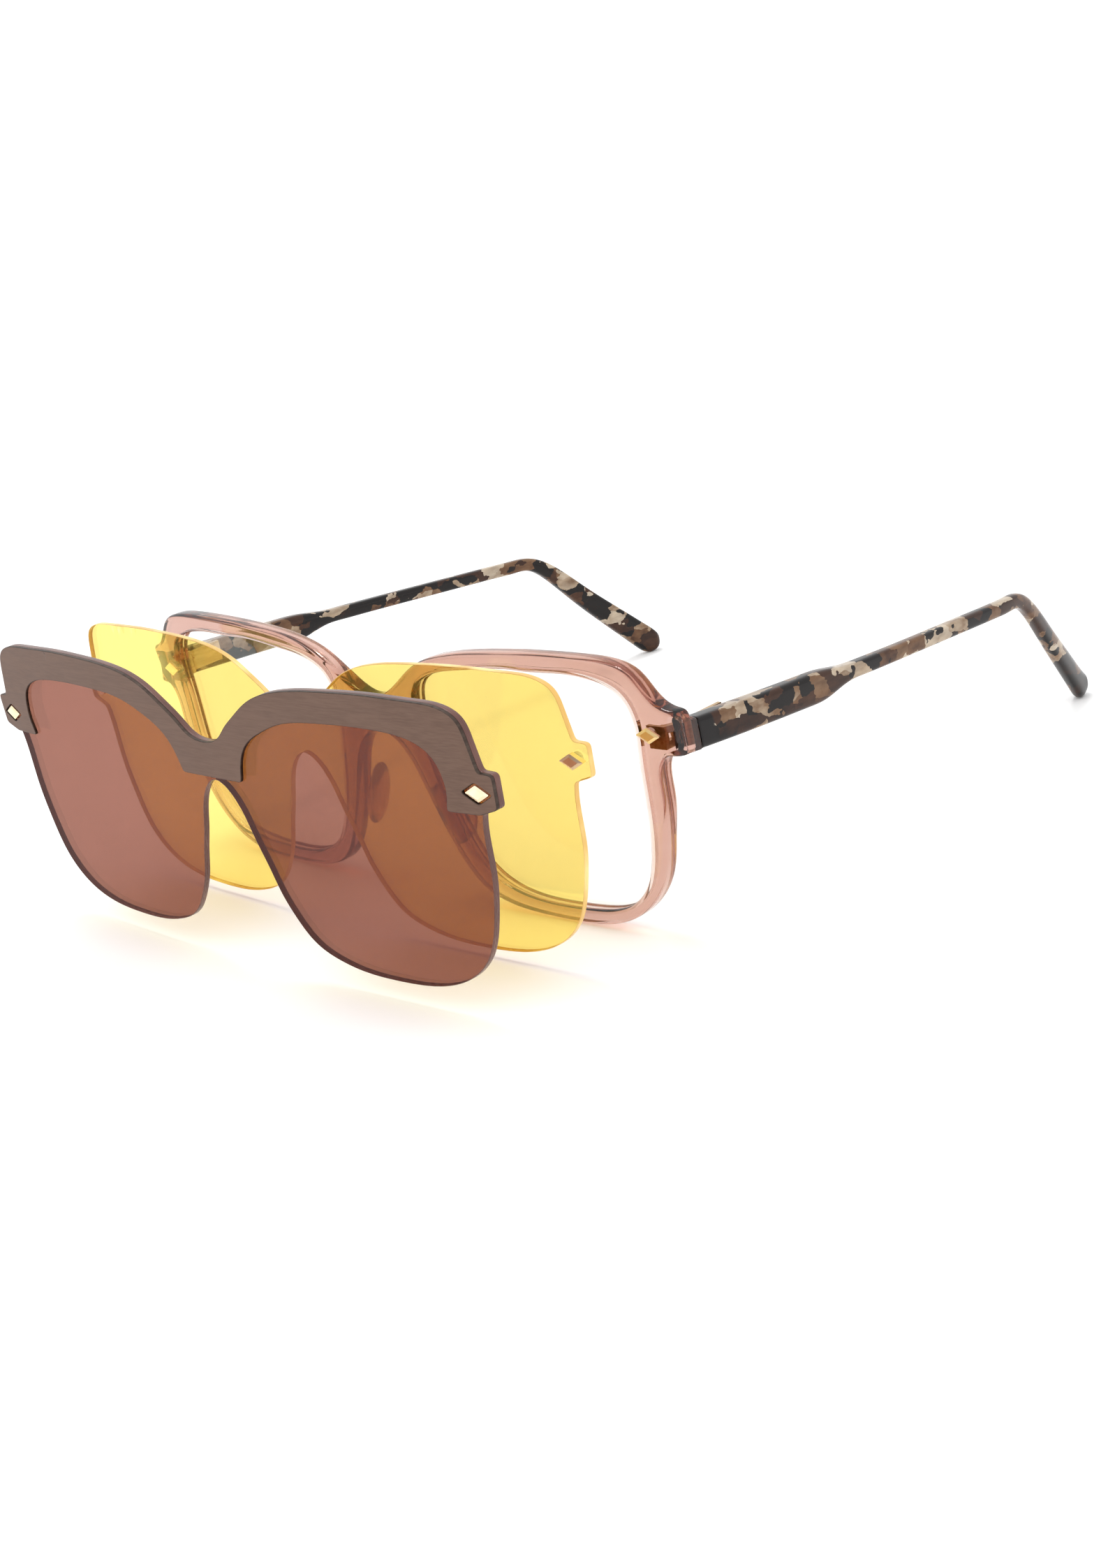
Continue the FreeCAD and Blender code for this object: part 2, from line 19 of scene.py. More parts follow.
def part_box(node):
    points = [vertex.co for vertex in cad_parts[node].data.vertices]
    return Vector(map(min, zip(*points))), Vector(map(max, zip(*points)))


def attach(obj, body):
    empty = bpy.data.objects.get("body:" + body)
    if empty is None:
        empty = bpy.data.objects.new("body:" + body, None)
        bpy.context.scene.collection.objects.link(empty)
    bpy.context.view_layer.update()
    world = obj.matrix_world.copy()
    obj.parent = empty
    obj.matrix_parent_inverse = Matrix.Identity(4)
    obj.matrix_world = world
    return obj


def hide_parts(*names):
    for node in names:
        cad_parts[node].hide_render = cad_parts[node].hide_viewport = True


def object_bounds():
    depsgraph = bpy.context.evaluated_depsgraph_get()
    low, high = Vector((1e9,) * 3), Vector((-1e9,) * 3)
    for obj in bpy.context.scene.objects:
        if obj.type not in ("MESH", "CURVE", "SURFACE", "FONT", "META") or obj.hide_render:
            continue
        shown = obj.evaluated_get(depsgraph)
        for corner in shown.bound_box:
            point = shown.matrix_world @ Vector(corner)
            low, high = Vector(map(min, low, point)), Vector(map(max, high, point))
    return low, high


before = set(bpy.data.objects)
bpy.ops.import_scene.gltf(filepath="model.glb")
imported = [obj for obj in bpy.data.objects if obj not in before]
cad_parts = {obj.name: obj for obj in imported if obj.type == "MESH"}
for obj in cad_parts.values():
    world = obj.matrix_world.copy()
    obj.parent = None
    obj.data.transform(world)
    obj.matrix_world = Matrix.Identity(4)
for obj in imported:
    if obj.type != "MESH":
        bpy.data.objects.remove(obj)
CAD_BOX = [list(corner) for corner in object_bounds()]

log = logging.getLogger("spectacles")

MM = 0.001
SEAT = 0.02 * MM  # pieces stand this far off the face they sit on, so that no two faces coincide
WELD = 7  # decimals of a metre to which CAD points are one
CREASE = 32.0  # degrees; sharper edges stay sharp
Colour = tuple[float, float, float]
Array = np.ndarray
DepthOfFace = Callable[[Array], Array]


class Side(Enum):
    """Which side of the wearer a piece is on, and the sign of its X."""

    LEFT = 1
    RIGHT = -1

    def node(self, stem: str) -> str:
        """The CAD node's name of a piece on this side."""
        return f"{stem}_{self.name.lower()}"


# ---- shader building ----------------------------------------------------------------------
class Value:
    """A socket of a shader tree that takes part in sums and products as a number would."""

    def __init__(self, tree: "Tree", socket: bpy.types.NodeSocket) -> None:
        """Keeps the socket and the tree that it is in."""
        self.tree = tree
        self.socket = socket

    def joined(self, operation: str, first: object, second: object) -> "Value":
        """A Math node.

        Args:
            operation: the Math node's operation.
            first: its first value, a Value or a number.
            second: its second value, a Value or a number.

        Returns:
            The node's result.
        """
        return self.tree.node("ShaderNodeMath", {"operation": operation}, {0: first, 1: second})

    def __add__(self, other: object) -> "Value":
        """Sum."""
        return self.joined("ADD", self, other)

    __radd__ = __add__

    def __mul__(self, other: object) -> "Value":
        """Product."""
        return self.joined("MULTIPLY", self, other)

    __rmul__ = __mul__

    def __sub__(self, other: object) -> "Value":
        """Difference."""
        return self.joined("SUBTRACT", self, other)

    def __rsub__(self, other: object) -> "Value":
        """Difference with the number on the left."""
        return self.joined("SUBTRACT", other, self)

    def __pow__(self, other: object) -> "Value":
        """Power."""
        return self.joined("POWER", self, other)

    def above(self, limit: float, softness: float) -> "Value":
        """A mask that climbs from 0 to 1 round a limit.

        Args:
            limit: the value at which the mask is one half.
            softness: how far below and above the limit it climbs.

        Returns:
            The mask.
        """
        sockets = {"Value": self, "From Min": limit - softness, "From Max": limit + softness}
        return self.tree.node("ShaderNodeMapRange", {"interpolation_type": "SMOOTHSTEP"}, sockets)


class Tree:
    """A new material and the tools to fill its shader tree."""

    def __init__(self, name: str) -> None:
        """Makes an empty material with an output."""
        self.material = bpy.data.materials.new(name)
        self.material.use_nodes = True
        self.nodes = self.material.node_tree.nodes
        self.links = self.material.node_tree.links
        self.nodes.clear()
        self.output = self.nodes.new("ShaderNodeOutputMaterial")

    @staticmethod
    def found(sockets: Sequence[bpy.types.NodeSocket], key: Union[int, str]) -> bpy.types.NodeSocket:
        """The socket with an index, an identifier or a name."""
        if isinstance(key, int):
            return sockets[key]
        exact = [s for s in sockets if s.identifier == key]
        return (exact or [s for s in sockets if s.name == key])[0]

    def node(self, kind: str, settings: Optional[dict] = None, sockets: Optional[dict] = None,
             output: Union[int, str] = 0) -> Value:
        """Adds a node.

        Args:
            kind: the node's type.
            settings: its own settings; "stops" fills a colour ramp.
            sockets: values or links for its inputs, by index, identifier or name.
            output: which output to return.

        Returns:
            The output, ready for shader maths.
        """
        node = self.nodes.new(kind)
        for key, setting in (settings or {}).items():
            if key == "stops":
                self.fill_ramp(node.color_ramp, setting)
            else:
                setattr(node, key, setting)
        for key, value in (sockets or {}).items():
            socket = self.found(node.inputs, key)
            if isinstance(value, Value):
                self.links.new(value.socket, socket)
            else:
                socket.default_value = value
        return Value(self, self.found(node.outputs, output))

    @staticmethod
    def fill_ramp(ramp: bpy.types.ColorRamp, stops: Sequence[tuple[float, Colour]]) -> None:
        """Puts stops into a colour ramp that has two to begin with."""
        for position, _ in stops[2:]:
            ramp.elements.new(position)
        for element, (position, colour) in zip(ramp.elements, stops):
            element.position = position
            element.color = (*colour, 1.0)

    def place(self, scale: Colour = (1.0, 1.0, 1.0), turn: Colour = (0.0, 0.0, 0.0)) -> Value:
        """Object coordinates, in metres, stretched and turned."""
        where = self.node("ShaderNodeTexCoord", output="Object")
        return self.node("ShaderNodeMapping", None, {"Vector": where, "Scale": scale, "Rotation": turn})

    def noise(self, where: Value, scale: float, detail: float = 3.0, output: str = "Fac") -> Value:
        """Cloudy noise at a number of clouds to the metre."""
        return self.node("ShaderNodeTexNoise", None,
                         {"Vector": where, "Scale": scale, "Detail": detail}, output)

    def mixed(self, share: object, first: object, second: object, blend: str = "MIX") -> Value:
        """Two colours mixed; share is the second one's part."""
        sockets = {"Factor_Float": share, "A_Color": first, "B_Color": second}
        return self.node("ShaderNodeMix", {"data_type": "RGBA", "blend_type": blend}, sockets,
                         "Result_Color")

    def bumped(self, height: Value, strength: float, distance: float) -> Value:
        """A normal from a height; distance is the height's full depth in metres."""
        return self.node("ShaderNodeBump", None,
                         {"Height": height, "Strength": strength, "Distance": distance})

    def blended(self, share: object, first: Value, second: Value) -> Value:
        """Two shaders mixed; share is the second one's part."""
        return self.node("ShaderNodeMixShader", None, {"Fac": share, 1: first, 2: second})

    def clear(self, colour: Colour) -> Value:
        """A shader that lets light through unbent, tinted."""
        return self.node("ShaderNodeBsdfTransparent", None, {"Color": (*colour, 1.0)})

    def finish(self, surface: Value, volume: Optional[Value] = None) -> bpy.types.Material:
        """Joins the shaders to the output and returns the material."""
        self.links.new(surface.socket, self.output.inputs["Surface"])
        if volume is not None:
            self.links.new(volume.socket, self.output.inputs["Volume"])
        return self.material


# ---- finishes -----------------------------------------------------------------------------
@dataclass(frozen=True)
class ClearAcetate:
    """Polished see-through acetate, coloured through its depth."""

    name: str
    soaked: Colour
    density: float
    shade: Colour
    refraction: float = 1.49

    def material(self) -> bpy.types.Material:
        """The acetate's material: bent light, depth tint, faint flow lines and polish marks."""
        tree = Tree(self.name)
        where = tree.place()
        drawn = tree.place((1.0, 1.0, 4.0))
        flow = tree.noise(drawn, 90.0, 4.0)
        polish = tree.noise(where, 2600.0, 2.0)
        tint = tree.mixed(flow.above(0.52, 0.2), (0.97, 0.93, 0.91, 1.0), (1.0, 0.99, 0.985, 1.0))
        height = polish * 0.3 + tree.noise(where, 160.0, 2.0)
        body = tree.node("ShaderNodeBsdfPrincipled", None, {
            "Base Color": tint,
            "Roughness": 0.015 + polish * 0.03,
            "IOR": self.refraction,
            "Transmission Weight": 1.0,
            "Normal": tree.bumped(height, 0.35, 0.00004),
        })
        shadow = tree.node("ShaderNodeLightPath", output="Is Shadow Ray")
        surface = tree.blended(shadow, body, tree.clear(self.shade))
        volume = tree.node("ShaderNodeVolumeAbsorption", None, {
            "Color": (*self.soaked, 1.0),
            "Density": self.density,
        })
        return tree.finish(surface, volume)


@dataclass(frozen=True)
class Tortoise:
    """Polished acetate pressed from dark, brown and pearly flakes."""

    name: str
    joint: float
    flake: float = 2.7 * MM
    band: float = 3.0 * MM

    def material(self) -> bpy.types.Material:
        """The flaked acetate's material: ragged patches, smoky edges and a hard gloss."""
        tree = Tree(self.name)
        base = tree.place((1.0, 0.62, 1.0))
        warp = tree.noise(base, 300.0, 3.0, "Color")
        centred = tree.node("ShaderNodeVectorMath", {"operation": "SUBTRACT"},
                            {0: warp, 1: (0.5, 0.5, 0.5)})
        pushed = tree.node("ShaderNodeVectorMath", {"operation": "SCALE"},
                           {0: centred, "Scale": 0.0055})
        where = tree.node("ShaderNodeVectorMath", {"operation": "ADD"}, {0: base, 1: pushed})
        cells = {"Vector": where, "Scale": 1.0 / self.flake, "Randomness": 1.0}
        flakes = tree.node("ShaderNodeTexVoronoi", {"feature": "F1"}, cells, "Color")
        chance = tree.node("ShaderNodeSeparateColor", None, {"Color": flakes}, "Red")
        smoke = tree.noise(base, 420.0, 4.0)
        level = chance + (smoke - 0.5) * 0.34
        patches = tree.node("ShaderNodeValToRGB", {"stops": (
            (0.0, (0.006, 0.004, 0.004)),
            (0.38, (0.009, 0.006, 0.005)),
            (0.46, (0.034, 0.013, 0.007)),
            (0.62, (0.066, 0.026, 0.012)),
            (0.69, (0.150, 0.073, 0.034)),
            (0.80, (0.215, 0.125, 0.068)),
            (0.87, (0.400, 0.300, 0.205)),
            (1.0, (0.560, 0.470, 0.360)),
        )}, {"Fac": level})
        streaks = tree.noise(tree.place((1.0, 0.25, 1.0)), 900.0, 5.0)
        depth = tree.mixed(streaks.above(0.5, 0.28), (0.62, 0.60, 0.60, 1.0), (1.0, 1.0, 1.0, 1.0))
        flaked = tree.mixed(1.0, patches, depth, "MULTIPLY")
        behind = tree.node("ShaderNodeSeparateXYZ", None, {"Vector": tree.place()}, "Y")
        past_band = behind.above(self.joint + self.band, 0.25 * MM)
        colour = tree.mixed(past_band, (0.008, 0.006, 0.006, 1.0), flaked)
        polish = tree.noise(base, 2600.0, 2.0)
        surface = tree.node("ShaderNodeBsdfPrincipled", None, {
            "Base Color": colour,
            "Roughness": 0.12 + smoke * 0.08,
            "IOR": 1.34,
            "Coat Weight": polish * 0.05,
            "Coat Roughness": 0.05,
            "Normal": tree.bumped(smoke * 0.6 + polish * 0.2, 0.25, 0.00008),
        })
        return tree.finish(surface)


@dataclass(frozen=True)
class TintedSheet:
    """A thin sheet that lets tinted light through unbent and mirrors a little."""

    name: str
    passed: Colour
    body: Colour
    body_share: float
    mirror: Colour
    mirror_share: float
    skin_gain: float = 0.22

    def material(self) -> bpy.types.Material:
        """The sheet's material: even tint, faint haze, hairline wiping marks and a glossy skin."""
        tree = Tree(self.name)
        where = tree.place()
        haze = tree.noise(where, 45.0, 3.0)
        wiped = tree.noise(tree.place((1.0, 1.0, 9.0), (0.0, 0.5, 0.0)), 700.0, 4.0)
        facing = tree.node("ShaderNodeLayerWeight", None, {"Blend": 0.30}, "Fresnel")
        body_colour = tree.mixed(haze.above(0.5, 0.3), (*self.body, 1.0),
                                 (*[min(1.0, 1.12 * c) for c in self.body], 1.0))
        skin = tree.node("ShaderNodeBsdfPrincipled", None, {
            "Base Color": body_colour,
            "Roughness": 0.25 + wiped * 0.2,
            "IOR": 1.5,
        })
        mirror_colour = tree.mixed(haze.above(0.52, 0.25), (*self.mirror, 1.0),
                                   (*[0.86 * c for c in self.mirror], 1.0))
        mirror = tree.node("ShaderNodeBsdfPrincipled", None, {
            "Base Color": mirror_colour,
            "Metallic": 1.0,
            "Roughness": 0.05 + wiped.above(0.62, 0.1) * 0.05,
        })
        clear = tree.clear(self.passed)
        tinted = tree.blended(self.body_share + (haze - 0.5) * 0.04, clear, skin)
        surface = tree.blended(self.mirror_share + facing * self.skin_gain, tinted, mirror)
        return tree.finish(surface)


@dataclass(frozen=True)
class CutEdge:
    """The polished cut edge of a thin sheet, which gathers its colour."""

    name: str
    colour: Colour
    bright: Colour

    def material(self) -> bpy.types.Material:
        """The edge's material: gathered colour with milling lines."""
        tree = Tree(self.name)
        lines = tree.noise(tree.place((1.0, 14.0, 1.0)), 500.0, 3.0)
        patches = tree.noise(tree.place(), 120.0, 2.0)
        colour = tree.mixed(patches.above(0.56, 0.16), (*self.colour, 1.0), (*self.bright, 1.0))
        surface = tree.node("ShaderNodeBsdfPrincipled", None, {
            "Base Color": colour,
            "Roughness": 0.18 + lines * 0.2,
            "IOR": 1.5,
            "Normal": tree.bumped(lines, 0.3, 0.00003),
        })
        return tree.finish(surface)


@dataclass(frozen=True)
class BrushedMetal:
    """Metal brushed or turned one way, bare, plated or under a tinted lacquer."""

    name: str
    colour: Colour
    fleck: Colour
    roughness: float
    grain: Colour
    lines: float
    relief: float = 0.00002
    metallic: float = 1.0

    def material(self) -> bpy.types.Material:
        """The metal's material: fine drawn lines in colour, roughness and relief."""
        tree = Tree(self.name)
        along = tree.place(self.grain)
        fine = tree.noise(along, self.lines, 6.0)
        broad = tree.noise(along, self.lines * 0.22, 3.0)
        worn = tree.noise(tree.place(), 180.0, 3.0)
        brushing = fine * 0.65 + broad * 0.35
        colour = tree.mixed(brushing.above(0.5, 0.17), (*self.colour, 1.0), (*self.fleck, 1.0))
        surface = tree.node("ShaderNodeBsdfPrincipled", None, {
            "Base Color": colour,
            "Metallic": self.metallic,
            "Roughness": self.roughness + brushing * 0.16 + (worn - 0.5) * 0.08,
            "Normal": tree.bumped(brushing, 0.5, self.relief),
        })
        return tree.finish(surface)


@dataclass(frozen=True)
class PolishedGold:
    """Pale gold plate on faceted studs."""

    name: str
    colour: Colour = (0.97, 0.78, 0.50)
    light: Colour = (0.99, 0.86, 0.64)

    def material(self) -> bpy.types.Material:
        """The plate's material: nearly even, with a trace of polishing swirl and tarnish."""
        tree = Tree(self.name)
        where = tree.place()
        swirl = tree.noise(where, 1500.0, 3.0)
        tarnish = tree.noise(where, 400.0, 2.0)
        surface = tree.node("ShaderNodeBsdfPrincipled", None, {
            "Base Color": tree.mixed(tarnish.above(0.5, 0.25), (*self.colour, 1.0), (*self.light, 1.0)),
            "Metallic": 1.0,
            "Roughness": 0.30 + swirl * 0.12,
            "Normal": tree.bumped(swirl, 0.25, 0.00002),
        })
        return tree.finish(surface)


@dataclass(frozen=True)
class Paper:
    """The plain pale table that the set stands on."""

    name: str = "pale_table"

    def material(self) -> bpy.types.Material:
        """The table's material: matt, very faintly mottled."""
        tree = Tree(self.name)
        mottle = tree.noise(tree.place(), 25.0, 4.0)
        surface = tree.node("ShaderNodeBsdfPrincipled", None, {
            "Base Color": tree.mixed(mottle, (0.955, 0.955, 0.955, 1.0), (0.975, 0.975, 0.975, 1.0)),
            "Roughness": 0.8,
            "Specular IOR Level": 0.15,
        })
        return tree.finish(surface)


ROSE = ClearAcetate("rose_acetate", (0.670, 0.345, 0.215), 390.0, (0.97, 0.90, 0.87))
TORTOISE = Tortoise("tortoise_acetate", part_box("temple_left")[0][1])
YELLOW = TintedSheet("yellow_sheet", (1.0, 0.912, 0.505), (0.95, 0.80, 0.20), 0.03,
                     (1.0, 0.95, 0.72), 0.006)
YELLOW_EDGE = CutEdge("yellow_cut_edge", (0.72, 0.43, 0.11), (0.92, 0.70, 0.27))
SUN = TintedSheet("sun_sheet", (0.60, 0.392, 0.325), (0.26, 0.12, 0.10), 0.045,
                  (0.60, 0.46, 0.48), 0.035)
SUN_EDGE = CutEdge("sun_cut_edge", (0.10, 0.038, 0.028), (0.15, 0.062, 0.046))
LENS = TintedSheet("clear_lens", (0.999, 0.999, 0.998), (0.95, 0.98, 0.97), 0.002,
                   (0.92, 0.97, 0.94), 0.001, skin_gain=0.10)
BAR = BrushedMetal("brushed_taupe", (0.116, 0.062, 0.041), (0.152, 0.086, 0.059), 0.42,
                   (0.05, 1.0, 1.0), 4200.0, 0.00001, 0.45)
BAR_EDGE = BrushedMetal("bar_cut_edge", (0.055, 0.040, 0.034), (0.10, 0.075, 0.062), 0.40,
                        (1.0, 0.1, 1.0), 1500.0)
GOLD = PolishedGold("pale_gold")
HINGE_METAL = BrushedMetal("hinge_gold", (0.42, 0.28, 0.14), (0.58, 0.42, 0.25), 0.26,
                           (1.0, 0.12, 1.0), 2200.0)
CORE_METAL = BrushedMetal("core_steel", (0.50, 0.49, 0.47), (0.66, 0.65, 0.63), 0.28,
                          (1.0, 0.06, 1.0), 2400.0)
MAGNET = BrushedMetal("magnet_nickel", (0.55, 0.54, 0.52), (0.72, 0.71, 0.69), 0.18,
                      (1.0, 1.0, 1.0), 1800.0)


# ---- meshes -------------------------------------------------------------------------------
@dataclass
class Surface:
    """Vertices and faces of a piece while it is put together."""

    points: list[Array] = field(default_factory=list)
    faces: list[Array] = field(default_factory=list)
    slots: list[Array] = field(default_factory=list)
    count: int = 0

    def add(self, points: Array, faces: Sequence[Array], slot: int = 0) -> int:
        """Adds points and the faces between them.

        Args:
            points: an (n, 3) array.
            faces: arrays of faces, numbered within these points.
            slot: the material slot of these faces.

        Returns:
            The number of the first point added.
        """
        start = self.count
        self.points.append(points)
        self.count += len(points)
        for group in faces:
            self.join(group + start, slot)
        return start

    def join(self, group: Array, slot: int = 0) -> None:
        """Adds faces between points that are there already."""
        self.faces.append(group)
        self.slots.append(np.full(len(group), slot, dtype=np.int32))

    def piece(self, name: str, finishes: Sequence[bpy.types.Material],
              crease: float = CREASE) -> bpy.types.Object:
        """Makes the Blender object.

        Args:
            name: the object's name.
            finishes: one material to a slot.
            crease: edges sharper than this many degrees stay sharp.

        Returns:
            The object, smooth shaded.
        """
        mesh = bpy.data.meshes.new(name)
        rows = [row for group in self.faces for row in group.tolist()]
        mesh.from_pydata(np.concatenate(self.points).tolist(), [], rows)
        mesh.polygons.foreach_set("material_index", np.concatenate(self.slots))
        for finish in finishes:
            mesh.materials.append(finish)
        mesh.polygons.foreach_set("use_smooth", np.ones(len(rows), dtype=bool))
        mesh.set_sharp_from_angle(angle=math.radians(crease))
        mesh.update()
        made = bpy.data.objects.new(name, mesh)
        bpy.context.scene.collection.objects.link(made)
        log.info("%s: %d faces", name, len(rows))
        return made


def grid_faces(rows: int, columns: int, closed: bool = True) -> Array:
    """Quads between the points of a grid, numbered row by row.

    Args:
        rows: points down the grid.
        columns: points across it.
        closed: joins the last column to the first.

    Returns:
        An (n, 4) array of point numbers.
    """
    row, column = np.meshgrid(np.arange(rows - 1), np.arange(columns if closed else columns - 1),
                              indexing="ij")
    after = (column + 1) % columns
    corners = (row * columns + column, (row + 1) * columns + column,
               (row + 1) * columns + after, row * columns + after)
    return np.stack([c.ravel() for c in corners], axis=1)


def node_mesh(name: str) -> tuple[Array, Array]:
    """A CAD node's points and triangles, with points in one place made one.

    Args:
        name: the CAD node.

    Returns:
        An (n, 3) array of points and an (m, 3) array of triangles.
    """
    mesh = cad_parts[name].data
    points = np.empty(3 * len(mesh.vertices))
    mesh.vertices.foreach_get("co", points)
    mesh.calc_loop_triangles()
    triangles = np.empty(3 * len(mesh.loop_triangles), dtype=np.int64)
    mesh.loop_triangles.foreach_get("vertices", triangles)
    kept, number = np.unique(np.round(points.reshape(-1, 3), WELD), axis=0, return_inverse=True)
    triangles = number.ravel()[triangles].reshape(-1, 3)
    first, second, third = triangles.T
    real = (first != second) & (second != third) & (first != third)
    return kept, triangles[real]


def cut_loops(points: Array, triangles: Array, level: Array) -> list[Array]:
    """Closed lines where a level, given at each point, crosses zero on a mesh.

    Each crossed triangle leads from the edge where its level climbs through zero to the edge
    where it falls back. Following those leads from edge to edge gives each closed line; the
    list of edges is doubled at every step, by following twice as many leads at once.

    Args:
        points: the mesh's points.
        triangles: its triangles.
        level: one number to a point.

    Returns:
        The lines, each an (n, 3) array.
    """
    positive = level > 0
    crossed = triangles[(positive[triangles].sum(axis=1) % 3) > 0]
    size = len(points)
    ends = np.stack([crossed, np.roll(crossed, -1, axis=1)], axis=2)
    climbing = ~positive[ends[:, :, 0]] & positive[ends[:, :, 1]]
    falling = positive[ends[:, :, 0]] & ~positive[ends[:, :, 1]]
    keys = ends.min(axis=2) * size + ends.max(axis=2)
    unique, numbers = np.unique(np.concatenate([keys[climbing], keys[falling]]), return_inverse=True)
    entering, leaving = np.split(numbers.ravel(), 2)
    follow = np.empty(len(unique), dtype=np.int64)
    follow[entering] = leaving
    low, high = np.divmod(unique, size)
    share = (level[low] / (level[low] - level[high]))[:, None]
    places = points[low] + (points[high] - points[low]) * share
    loops = []
    waiting = np.ones(len(unique), dtype=bool)
    while waiting.any():
        start = int(np.argmax(waiting))
        order = np.array([start])
        jump = follow.copy()
        while not (order[1:] == start).any() and len(order) <= len(unique):
            order = np.concatenate([order, jump[order]])
            jump = jump[jump]
        back = np.flatnonzero(order[1:] == start)
        order = order[:back[0] + 1] if len(back) else order
        waiting[order] = False
        loops.append(places[order])
    return loops


def area(loop: Array) -> float:
    """Area inside a flat closed line, positive if it runs anticlockwise."""
    following = np.roll(loop, -1, axis=0)
    return 0.5 * float(np.sum(loop[:, 0] * following[:, 1] - following[:, 0] * loop[:, 1]))


def even(loop: Array, spacing: float, softening: int) -> Array:
    """A closed line walked in equal steps, then each point eased towards its neighbours' middle.

    Args:
        loop: the line.
        spacing: the length of a step.
        softening: how often the points are eased.

    Returns:
        The new line.
    """
    closed = np.vstack([loop, loop[:1]])
    walked = np.concatenate([[0.0], np.cumsum(np.hypot(*np.diff(closed, axis=0).T))])
    steps = max(16, int(round(walked[-1] / spacing)))
    at = np.linspace(0.0, walked[-1], steps, endpoint=False)
    line = np.stack([np.interp(at, walked, closed[:, i]) for i in (0, 1)], axis=1)
    for _ in range(softening):
        line = 0.5 * line + 0.25 * (np.roll(line, 1, axis=0) + np.roll(line, -1, axis=0))
    return line


def inward(loop: Array) -> Array:
    """Vectors across a closed line to its left, longer at a corner so that offsets stay even.

    Args:
        loop: the line.

    Returns:
        The normal halfway between the two sides at each point, over the cosine of half their angle.
    """
    before = loop - np.roll(loop, 1, axis=0)
    after = np.roll(loop, -1, axis=0) - loop
    before /= np.hypot(*before.T)[:, None]
    after /= np.hypot(*after.T)[:, None]
    along = before + after
    along /= np.hypot(*along.T)[:, None]
    stretch = 1.0 / np.clip(np.sum(along * after, axis=1), 0.6, 1.0)
    return np.stack([-along[:, 1], along[:, 0]], axis=1) * stretch[:, None]


def within(places: Array, loops: Sequence[Array]) -> Array:
    """Which places are inside: a ray to +X crosses the lines an odd number of times.

    Args:
        places: an (n, 2) array.
        loops: closed lines.

    Returns:
        True for each place that is inside.
    """
    crossings = np.zeros(len(places), dtype=np.int64)
    for loop in loops:
        following = np.roll(loop, -1, axis=0)
        rise = following[:, 1] - loop[:, 1]
        safe = np.where(np.abs(rise) < 1e-12, 1e-12, rise)
        spans = (loop[:, 1][None] > places[:, 1:]) != (following[:, 1][None] > places[:, 1:])
        share = (places[:, 1:] - loop[:, 1][None]) / safe[None]
        meets = loop[:, 0][None] + share * (following[:, 0] - loop[:, 0])[None]
        crossings += np.sum(spans & (meets > places[:, :1]), axis=1)
    return crossings % 2 == 1


def filled(loops: Sequence[Array], spacing: float) -> tuple[Array, Array]:
    """Triangles that fill the flat region between closed lines.

    Args:
        loops: the outer line, anticlockwise, and the holes in it.
        spacing: distance between the extra points strewn inside on a square grid.

    Returns:
        The lines' points followed by the extra ones, and the triangles, anticlockwise.
    """
    border = np.concatenate(loops)
    low, high = border.min(axis=0), border.max(axis=0)
    across, up = np.meshgrid(np.arange(low[0], high[0], spacing), np.arange(low[1], high[1], spacing))
    strewn = np.stack([across.ravel(), up.ravel()], axis=1)
    strewn = strewn[within(strewn, loops)]
    near = np.full(len(strewn), np.inf)
    for chunk in np.array_split(border, max(1, len(border) // 256)):
        gaps = np.hypot(strewn[:, :1] - chunk[:, 0][None], strewn[:, 1:] - chunk[:, 1][None])
        near = np.minimum(near, gaps.min(axis=1))
    strewn = strewn[near > 0.6 * spacing]
    places = np.concatenate([border, strewn])
    edges = []
    start = 0
    for loop in loops:
        number = np.arange(len(loop)) + start
        edges += np.stack([number, np.roll(number, -1)], axis=1).tolist()
        start += len(loop)
    scaled = (places / MM).tolist()
    found = delaunay_2d_cdt([Vector(p) for p in scaled], edges, [], 0, 1e-5)
    source = np.array([came[0] if came else -1 for came in found[3]])
    triangles = source[np.array([face for face in found[2] if len(face) == 3])]
    triangles = triangles[(triangles >= 0).all(axis=1)]
    middles = places[triangles].mean(axis=1)
    triangles = triangles[within(middles, loops)]
    a, b, c = (places[triangles[:, i]] for i in range(3))
    turn = (b[:, 0] - a[:, 0]) * (c[:, 1] - a[:, 1]) - (b[:, 1] - a[:, 1]) * (c[:, 0] - a[:, 0])
    triangles[turn < 0] = triangles[turn < 0][:, ::-1]
    return places, triangles


